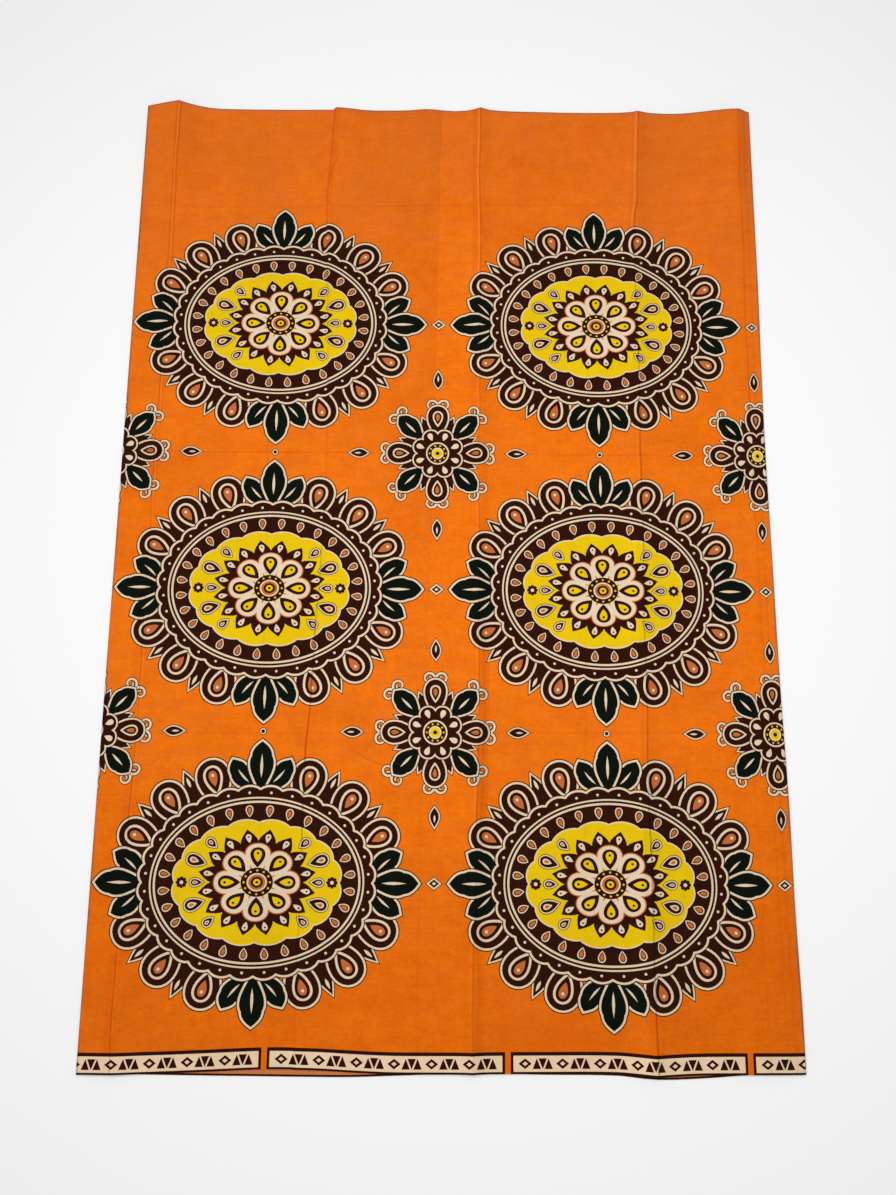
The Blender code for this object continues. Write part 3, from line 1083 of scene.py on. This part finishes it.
def sheet_object(name, point, column, low, high, lines, grid):
    """A closed thin sheet: the printed outer face, a plainer inner face and a rim between them."""
    fine = lines(False)
    flat, triangles, inks = cut_flat(
        rim_loop(low, high, fine), whole_print(low, high), fine, grid(False), GROUND
    )
    rim = open_edges(triangles)
    order = rim_order(rim)
    inner_flat, inner_triangles, inner_inks = cut_flat(
        [tuple(flat[k]) for k in order], selvedge_line(low, high), lines(True), grid(True), WRONG
    )
    outer_normal, inner_normal = (facing(point, side[:, 0], side[:, 1]) for side in (flat, inner_flat))
    inner = point(inner_flat[:, 0], inner_flat[:, 1]) - WALL * inner_normal
    places = np.concatenate([point(flat[:, 0], flat[:, 1]), inner])
    count = len(flat)
    by_place = {tuple(np.round(p, SAME_PLACE)): count + k for k, p in enumerate(inner_flat)}
    below = {k: by_place[tuple(np.round(flat[k], SAME_PLACE))] for k in order}
    faces = triangles + [[count + c, count + b, count + a] for a, b, c in inner_triangles]
    first_rim = len(faces)
    materials = [INKS.index(ink) for ink in inks + inner_inks]
    for (a, b), number in rim.items():
        faces += [[b, a, below[a]], [b, below[a], below[b]]]
        materials += [INKS.index(inks[number])] * 2
    mesh = bpy.data.meshes.new(name)
    mesh.from_pydata(places.tolist(), [], faces)
    mesh.polygons.foreach_set("material_index", materials)
    mesh.polygons.foreach_set("use_smooth", [True] * len(faces))
    corners = np.array(faces).ravel()
    add_maps(mesh, np.concatenate([flat, inner_flat]), column, corners, 3 * len(triangles), 3 * first_rim)
    set_normals(mesh, places, faces, np.concatenate([outer_normal, -inner_normal]), first_rim)
    for ink in INKS:
        mesh.materials.append(bpy.data.materials["cloth_" + ink])
    return linked(name, mesh)


def front_column(s, y):
    """The place across that follows the front's leaning creases."""
    inner = np.clip(s, -TURN, TURN)
    return s - inner + column_at(inner, y)


def back_column(s, y):
    """The same for the hidden layer, from its own middle."""
    x = LOOP / 2 - s
    return x - lean_at(BACK_CREASES, x) * (TOP_Y - y) / LENGTH


def add_maps(mesh, flat, column, corners, inner_from, rim_from):
    """Two maps: the flat cloth in metres, and the same laid out in one square, the outer face, inner face
    and rim side by side.
    """
    followed = np.stack([column(flat[:, 0], flat[:, 1]), flat[:, 1]], axis=1)
    low, high = flat.min(axis=0), flat.max(axis=0)
    layout = ((flat - low) / (high - low))[corners]
    layout[:inner_from, 0] *= OUTER_SHARE
    layout[inner_from:rim_from, 0] = INNER_FROM + INNER_SHARE * layout[inner_from:rim_from, 0]
    layout[rim_from:, 0] = RIM_FROM + RIM_SHARE * layout[rim_from:, 0]
    for title, values in ((BAKE_MAP, layout), (FLAT_MAP, followed[corners])):
        layer = mesh.uv_layers.new(name=title)
        layer.data.foreach_set("uv", values.astype(np.float32).ravel())


def linear(red, green, blue):
    """A colour from its 0 to 255 screen values, as the shader takes it."""
    values = [v / 255 for v in (red, green, blue)]
    return tuple(v / 12.92 if v <= 0.04045 else ((v + 0.055) / 1.055) ** 2.4 for v in values) + (1.0,)


# Colours of the dyed cotton, in screen values
INK_COLOURS = {
    GROUND: (240, 118, 9),
    MAROON: (46, 15, 4),
    CREAM: (226, 202, 170),
    YELLOW: (228, 190, 9),
    OCHRE: (192, 104, 50),
    GREEN: (8, 15, 8),
    LINE: (45, 13, 5),
    BOX: (237, 206, 170),
    WRONG: (206, 121, 68),
}
WASHED_AND_SHEEN_GROUND = (224, 110, 34)  # the ground where it is a little washed out, and with a painted sheen near the top edge
DEEP_GROUND = (223, 100, 5)  # and where the dye took more in patches and specks, and deeper towards the foot
EDGE_SHADE_AND_SELVEDGE_GROUND = (160, 112, 84)  # and greyed along its folds and top edge: painted shade where it turns down, and a darker selvedge along the top
CREASE_SHADE_GROUND = (190, 70, 2)  # and painted shade along a pressed line
CREST_HIGHLIGHT_GROUND = (252, 146, 52)  # and a painted highlight along a line that stands up
PRESS_SHADE = 0.30  # how much painted shade darkens a pressed line on the other inks
PRESS_CORE = 0.0002
PRESS_REACH = 0.0016  # how far to each side a pressed line shows at least
PRESS_FULL = 0.00062  # depth of a pressed line that shows at full strength
WRINKLE_FULL = 0.001  # and of a wrinkle
WRINKLE_REACH = 0.8  # how far a wrinkle shows, in half widths
TOP_LINE = 0.0056  # a faint line this far below the top edge
FOLD_LINE = 0.0012  # the darkest line of painted shade on a side fold, beyond the flat top's end
CREST_HIGHLIGHT_SHARE = 1.4  # how strongly the painted highlight on lines that stand up and the painted shade in pressed lines change the ground's colour
CREASE_SHADE_SHARE = 0.62
THREAD = 0.00042  # spacing of the threads
THREAD_DEPTH = 0.0003
WEFT_SHARE = 0.45  # how much each kind of thread stands out
WARP_SHARE = 0.35
SLUB_SHARE = 0.9
BUMP_STRENGTH = 0.42
SHEEN_ROUGHNESS = 0.5
SPECULAR = 0.05
SHEEN = 0.02

# Painted light and shade across the cloth, on the panels between its creases as they face towards the light
# or away from it, with painted shade at some creases: at the top edge and at the foot
PAINTED_PANEL_LIGHT = table(
    "place top foot",
    (-0.395, 0.95, 0.97), (-0.364, 0.97, 0.98), (-0.352, 0.99, 0.97), (-0.16, 0.99, 0.98), (-0.15, 1, 1),
    (-0.06, 0.97, 1), (-0.013, 0.94, 1), (-0.0095, 1.03, 1), (0.034, 1.03, 0.99), (0.05, 0.99, 0.97),
    (0.242, 1, 0.99), (0.252, 0.97, 0.94), (0.37, 0.98, 0.95), (0.384, 0.98, 0.94),
)

# Uneven tones of the dye, and the uneven strength of the painted shade and highlight along the creases and
# of the painted shade along the
# folds and top edge: how fast each changes across and up the cloth, its detail and roughness, the part of
# the noise that counts and what that runs to
TONES = {row.name: row for row in table(
    "name across up detail rough low high least most",
    ("streaks", 60, 330, 3, 0.65, 0.30, 0.70, 0.965, 1.030),
    ("warps", 420, 40, 2, 0.6, 0.30, 0.70, 0.978, 1.018),
    ("blotches", 14, 16, 5, 0.70, 0.30, 0.70, 0.945, 1.040),
    # the painted shade and highlight along the creases are uneven
    ("pressed", 6, 17, 2, 0.55, 0.30, 0.65, 0.55, 1.0),
    ("top_line", 3.1, 0.4, 2, 0.55, 0.46, 0.56, 0.0, 0.10),
    # and the painted shade along the folds and top edge is uneven too
    ("worn", 22, 22, 2, 0.55, 0.35, 0.65, 0.6, 1.1),
    ("dusty_wide", 5, 4, 3, 0.6, 0.42, 0.72, 0.0, 0.40),
    ("dusty_fine", 24, 70, 3, 0.6, 0.44, 0.72, 0.0, 0.55),
    ("deep_wide", 4, 14, 2, 0.55, 0.5, 0.75, 0.0, 0.35),
    ("deep_specks", 170, 260, 3, 0.75, 0.36, 0.64, 0.0, 0.42),
    ("deep_spots", 46, 60, 2, 0.6, 0.36, 0.66, -0.08, 0.28),
)}


# What a value turns into as it goes from start to end. The lines, the painted shade along the folds and top
# edge and the presses go by metres, the wrinkles by the share of their length, and the rest by the height
# up the cloth from 0 to 1
FADES = {row.name: row for row in table(
    "name start end first last",
    ("fold_line", 0.0008, 0.0024, 0.66, 1),
    ("rim_line", TOP_Y - 0.0019, TOP_Y - 0.0007, 1, 0.6),
    ("faint_line", 0.0003, 0.0009, 1, 0),
    # painted light and shade on the panels between the creases
    ("panels", 0.3, 0.8, 0, 1),
    # painted shade towards the top edge and the foot
    ("top_shade", 0.62, 0.93, 1, 0.952),
    ("foot_shade", 0.34, 0.08, 1, 0.925),
    # painted shade where the cloth turns down at its side folds, and along its top edge painted shade with
    # its darker selvedge
    ("worn_fold", TURN - 0.004, TURN + 0.0015, 0, 0.42),
    ("worn_top", TOP_Y - 0.0065, TOP_Y, 0, 0.4),
    # a painted sheen near the top edge, over the washed-out patches
    ("dusty_top", 0.72, 1, 0, 0.62),
    ("deep_foot", 0.3, 0, 0, 0.45),
    ("press_top", UPPER_Y, TOP_Y - 0.06, 0, 1),
    ("press_below", UPPER_Y, LOWER_Y, 0, 1),
    ("press_foot", LOWER_Y, FOOT_Y, 0, 1),
    ("wrinkle_ends", 0.2, 0.5, 1, 0),
    ("roughness", 0.7, 1.3, 0.74, 0.9),
)}


class Nodes:
    """Short calls for building one material's node tree."""

    def __init__(self, material):
        self.tree = material.node_tree

    def add(self, kind, inputs=(), **settings):
        made = self.tree.nodes.new("ShaderNode" + kind)
        for name, value in settings.items():
            setattr(made, name, value)
        for key, value in dict(inputs).items():
            self.put(made.inputs[key], value)
        return made

    def put(self, socket, value):
        if isinstance(value, bpy.types.NodeSocket):
            self.tree.links.new(value, socket)
        else:
            socket.default_value = value

    def flat_cloth(self):
        return self.add("UVMap", uv_map=FLAT_MAP).outputs["UV"]

    def across_and_up(self):
        flat = self.add("SeparateXYZ", {"Vector": self.flat_cloth()})
        return flat.outputs["X"], flat.outputs["Y"]

    def noise(self, across, up, detail=2, rough=0.55):
        mapped = self.add("Mapping", {"Vector": self.flat_cloth(), "Scale": (across, up, 1)})
        inputs = {"Vector": mapped.outputs["Vector"], "Scale": 1, "Detail": detail, "Roughness": rough}
        return self.add("TexNoise", inputs, noise_dimensions="2D").outputs["Fac"]

    def tone(self, name):
        row = TONES[name]
        made = self.noise(row.across, row.up, row.detail, row.rough)
        return self.ranged(made, row.low, row.high, row.least, row.most)

    def ranged(self, value, low, high, to_low=0, to_high=1):
        inputs = {"Value": value, "From Min": low, "From Max": high, "To Min": to_low, "To Max": to_high}
        return self.add("MapRange", inputs).outputs["Result"]

    def fade(self, name, value):
        row = FADES[name]
        return self.ranged(value, row.start, row.end, row.first, row.last)

    def math(self, operation, *values):
        return self.add("Math", enumerate(values), operation=operation).outputs["Value"]

    def apart(self, first, second):
        """How far apart two values are."""
        return self.math("ABSOLUTE", self.math("SUBTRACT", first, second))

    def fused(self, first, second, third):
        """The first two multiplied, and the third added."""
        return self.math("MULTIPLY_ADD", first, second, third)

    def product(self, first, *others):
        for other in others:
            first = self.math("MULTIPLY", first, other)
        return first

    def total(self, first, *others):
        for other in others:
            first = self.math("ADD", first, other)
        return first

    def mixed(self, factor, first, second, kind="MIX"):
        inputs = {0: factor, 6: first, 7: second}
        return self.add("Mix", inputs, data_type="RGBA", blend_type=kind, clamp_factor=True).outputs[2]

    def ramp(self, factor, stops):
        made = self.add("ValToRGB", {"Fac": factor})
        elements = made.color_ramp.elements
        while len(elements) < len(stops):
            elements.new(0.5)
        for element, (place, value) in zip(elements, stops):
            element.position = place
            element.color = (value, value, value, 1.0)
        return made.outputs["Color"]


def add_threads(nodes, shader):
    """Threads both ways, thicker ones here and there, and a roughness that follows them."""
    weft = nodes.noise(0.1 / THREAD, 1 / THREAD, 1)
    warp = nodes.noise(1 / THREAD, 0.08 / THREAD, 1)
    slubs = nodes.noise(95, 560, 2, 0.7)
    height = nodes.total(nodes.product(weft, WEFT_SHARE), nodes.product(warp, WARP_SHARE))
    height = nodes.fused(slubs, SLUB_SHARE, height)
    bump = nodes.add("Bump", {"Strength": BUMP_STRENGTH, "Distance": THREAD_DEPTH, "Height": height})
    nodes.put(shader.inputs["Normal"], bump.outputs["Normal"])
    worn = nodes.noise(14, 9, 3)
    nodes.put(shader.inputs["Roughness"], nodes.fade("roughness", nodes.total(worn, slubs)))


def wrinkle_shade(nodes, column, up):
    """How strongly each place gets painted shade from a small wrinkle."""
    total = 0.0
    for w in FRONT_WRINKLES:
        x1, x2 = column_at(np.array((w.x1, w.x2)), np.array((w.y1, w.y2))).tolist()
        dx, dy = x2 - x1, w.y2 - w.y1
        length = math.hypot(dx, dy)
        share = nodes.fused(column, dx / length ** 2, -(x1 * dx + w.y1 * dy) / length ** 2)
        share = nodes.fused(up, dy / length ** 2, share)
        away = nodes.fused(column, -dy / length, (x1 * dy - w.y1 * dx) / length)
        away = nodes.fused(up, dx / length, away)
        bend = nodes.math("SINE", nodes.product(share, WRINKLE_TURNS))
        away = nodes.math("ABSOLUTE", nodes.fused(bend, -WRINKLE_BEND, away))
        core = nodes.ranged(away, PRESS_CORE, WRINKLE_REACH * w.half, w.depth / WRINKLE_FULL, 0)
        total = nodes.fused(core, nodes.fade("wrinkle_ends", nodes.apart(share, 0.5)), total)
    return total


def crease_shade_and_highlight(nodes, column, up, height):
    """How strongly each place gets painted shade from a pressed line, a fold across or a wrinkle, and a
    painted highlight from a line that stands up, from 0 to 1.
    """
    near_top, below, near_foot = (nodes.fade("press_" + part, up) for part in ("top", "below", "foot"))
    pressed, crest_highlight = wrinkle_shade(nodes, column, up), 0.0
    for fold in CROSS_FOLDS:
        from_line = nodes.apart(up, nodes.fused(column, fold.slope, fold.up))
        core = nodes.ranged(from_line, PRESS_CORE, PRESS_REACH, fold.depth / PRESS_FULL, 0)
        left = nodes.ranged(column, -SIDE_X, 0.0, fold.left, fold.mid)
        pressed = nodes.fused(core, nodes.ranged(column, 0.0, SIDE_X, left, fold.right), pressed)
    for line in PRESSES:
        place = PLACES[line.crease].place + line.offset
        if line.drift:
            place = nodes.fused(height, -line.drift, place + line.drift)
        reach = max(PRESS_REACH, line.half)
        full = abs(line.depth) / PRESS_FULL
        core = nodes.ranged(nodes.apart(column, place), PRESS_CORE, reach, full, 0)
        size = nodes.fused(near_top, line.top - line.upper, line.upper)
        size = nodes.fused(below, line.lower - line.upper, size)
        size = nodes.fused(near_foot, line.foot - line.lower, size)
        if line.depth > 0:
            pressed = nodes.fused(core, size, pressed)
        else:
            crest_highlight = nodes.fused(core, size, crest_highlight)
    tone = nodes.tone("pressed")
    return nodes.product(pressed, tone), nodes.product(crest_highlight, tone)


def edge_shade_lines(nodes, across, up):
    """Darker lines: painted shade where the cloth turns down at its folds, painted shade with a darker
    selvedge along its top edge, and a faint one below.
    """
    from_fold = nodes.apart(nodes.math("ABSOLUTE", across), TURN + FOLD_LINE)
    fold = nodes.fade("fold_line", from_fold)
    rim = nodes.fade("rim_line", up)
    faint = nodes.fade("faint_line", nodes.apart(up, TOP_Y - TOP_LINE))
    line = nodes.math("SUBTRACT", 1.0, nodes.product(faint, nodes.tone("top_line")))
    return nodes.product(fold, rim, line)


def cloth_tone(nodes):
    """How light the cloth is at each place, with painted light and shade on its panels, towards its top and
    foot and along its edges; how strongly pressed or raised; and how high up.
    """
    across, up = nodes.across_and_up()
    height = nodes.ranged(up, FOOT_Y, TOP_Y)
    share = nodes.ranged(across, -SIDE_X, SIDE_X)
    top = nodes.ramp(share, [((panel.place + SIDE_X) / WIDTH, panel.top) for panel in PAINTED_PANEL_LIGHT])
    foot = nodes.ramp(share, [((panel.place + SIDE_X) / WIDTH, panel.foot) for panel in PAINTED_PANEL_LIGHT])
    # painted light and shade on the panels
    panels = nodes.mixed(nodes.fade("panels", height), foot, top)
    # painted shade towards the top edge and towards the foot
    falls = (nodes.fade("top_shade", height), nodes.fade("foot_shade", height))
    dye = (nodes.tone("streaks"), nodes.tone("warps"), nodes.tone("blotches"))
    tone = nodes.product(*dye, *falls, edge_shade_lines(nodes, across, up))
    return nodes.mixed(1.0, panels, tone, "MULTIPLY"), crease_shade_and_highlight(nodes, across, up, height), height


def painted_edge_shade(nodes):
    """How strongly the ground gets painted shade where it turns down at its side folds, and painted shade
    with a darker selvedge along its top edge.
    """
    across, up = nodes.across_and_up()
    fold = nodes.fade("worn_fold", nodes.math("ABSOLUTE", across))
    top = nodes.fade("worn_top", up)
    return nodes.product(nodes.math("MAXIMUM", fold, top), nodes.tone("worn"))


def ground_colour(nodes, pressed, crest_highlight, height):
    """The orange ground: washed out in patches and duller near the top edge, where a sheen is painted;
    deeper in spots and towards the foot; with painted shade along pressed lines and wrinkles, a painted
    highlight along lines that stand up, and painted shade along its side folds and top edge, where its
    selvedge is darker too.
    """
    near_top, near_foot = nodes.fade("dusty_top", height), nodes.fade("deep_foot", height)
    washed_and_sheen = nodes.total(nodes.tone("dusty_wide"), nodes.tone("dusty_fine"), near_top)
    deep = nodes.total(nodes.tone("deep_wide"), near_foot, nodes.tone("deep_specks"))
    deep = nodes.total(deep, nodes.tone("deep_spots"))
    colour = linear(*INK_COLOURS[GROUND])
    changes = (
        (washed_and_sheen, WASHED_AND_SHEEN_GROUND),
        (deep, DEEP_GROUND),
        (painted_edge_shade(nodes), EDGE_SHADE_AND_SELVEDGE_GROUND),
        (nodes.product(crest_highlight, CREST_HIGHLIGHT_SHARE), CREST_HIGHLIGHT_GROUND),
        (nodes.product(pressed, CREASE_SHADE_SHARE), CREASE_SHADE_GROUND),
    )
    for share, other in changes:
        colour = nodes.mixed(share, colour, linear(*other))
    return colour


def new_material(name, inputs):
    """A material with some of its shader's own values set: its nodes and its shader."""
    material = bpy.data.materials.new(name)
    material.use_nodes = True
    shader = material.node_tree.nodes["Principled BSDF"]
    for key, value in inputs.items():
        shader.inputs[key].default_value = value
    return material, shader


def make_materials():
    """One dyed cotton for each ink, all with the same threads, tone, painted light and shade, and painted
    shade along pressed lines.
    """
    for ink in INKS:
        inputs = {"Specular IOR Level": SPECULAR, "Sheen Weight": SHEEN, "Sheen Roughness": SHEEN_ROUGHNESS}
        material, shader = new_material("cloth_" + ink, inputs)
        nodes = Nodes(material)
        tone, (pressed, crest_highlight), height = cloth_tone(nodes)
        if ink == GROUND:
            colour = ground_colour(nodes, pressed, crest_highlight, height)
        else:
            # painted shade along pressed lines, folds across and wrinkles
            dark = nodes.fused(pressed, -PRESS_SHADE, 1.0)
            colour = nodes.mixed(1.0, linear(*INK_COLOURS[ink]), dark, "MULTIPLY")
        nodes.put(shader.inputs["Base Color"], nodes.mixed(1.0, colour, tone, "MULTIPLY"))
        add_threads(nodes, shader)


# The floor, the light and the camera
FLOOR_Z = -0.0004
FLOOR_REACH = 4.0
FLOOR_COLOUR = (0.90, 0.90, 0.90, 1.0)
WORLD_LIGHT = 0.42
SIDE_LIGHT = 0.80
SIDE_ANGLE = 38
SIDE_FROM = (-0.80, 0.35, 1.0)
TOP_LIGHT = 14.3
TOP_LIGHT_SIZE = 1.4
TOP_LIGHT_AT = (0.0, 0.05, 1.5)
LENS_MM = 30.13
CAMERA_AT = (-0.0079, -0.3039, 1.1770)
CAMERA_LOOK = (0.0085, 0.2003, -0.9797)
CAMERA_UP = (-0.0080, 0.9797, 0.2003)


def make_stage():
    """A plain pale floor."""
    mesh = bpy.data.meshes.new("floor")
    corners = [(x, y, 0) for x, y in bar(-FLOOR_REACH, FLOOR_REACH, -FLOOR_REACH, FLOOR_REACH)]
    mesh.from_pydata(corners, [], [(0, 1, 2, 3)])
    floor = linked("floor", mesh)
    floor.location.z = FLOOR_Z
    inputs = {"Base Color": FLOOR_COLOUR, "Roughness": 0.9, "Specular IOR Level": 0.1}
    mesh.materials.append(new_material("pale_floor", inputs)[0])


def make_light():
    """Soft light: a pale surround, a broad low lamp from the left and a panel overhead."""
    scene = bpy.context.scene
    scene.world = bpy.data.worlds.new("surround")
    scene.world.use_nodes = True
    background = scene.world.node_tree.nodes["Background"]
    background.inputs["Color"].default_value = (1.0, 1.0, 1.0, 1.0)
    background.inputs["Strength"].default_value = WORLD_LIGHT
    side = bpy.data.lights.new("side_light", "SUN")
    side.energy = SIDE_LIGHT
    side.angle = math.radians(SIDE_ANGLE)
    linked("side_light", side).rotation_euler = Vector(SIDE_FROM).to_track_quat("Z", "Y").to_euler()
    panel = bpy.data.lights.new("top_light", "AREA")
    panel.energy = TOP_LIGHT
    panel.shape = "SQUARE"
    panel.size = TOP_LIGHT_SIZE
    linked("top_light", panel).location = TOP_LIGHT_AT
    scene.view_settings.view_transform = "Standard"
    scene.view_settings.look = "None"


def make_camera():
    """The photograph's viewing angle."""
    camera = bpy.data.cameras.new("camera")
    camera.lens = LENS_MM
    camera.sensor_width = 36.0
    camera.clip_start = 0.01
    look = Vector(CAMERA_LOOK).normalized()
    right = look.cross(Vector(CAMERA_UP)).normalized()
    turn = Matrix((right, right.cross(look), -look)).transposed().to_4x4()
    seen = linked("camera", camera)
    seen.matrix_world = Matrix.Translation(CAMERA_AT) @ turn
    bpy.context.scene.camera = seen


def make_front():
    """The layer that shows, with both side folds and the lips that turn under."""
    ends = (-FRONT_END, FRONT_END)
    piece = sheet_object("cloth_front_sheet", front_point, front_column, *ends, front_lines, front_grid)
    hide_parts("cloth_front")
    return piece


def make_back():
    """The hidden layer, printed on its underside."""
    ends = (LOOP / 2 - BACK_HALF, LOOP / 2 + BACK_HALF)
    piece = sheet_object("cloth_back_sheet", back_point, back_column, *ends, back_lines, back_grid)
    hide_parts("cloth_back")
    return piece


def main():
    make_camera()
    make_light()
    make_stage()
    make_materials()
    for piece in (make_back(), make_front()):
        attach(piece, "root")


main()
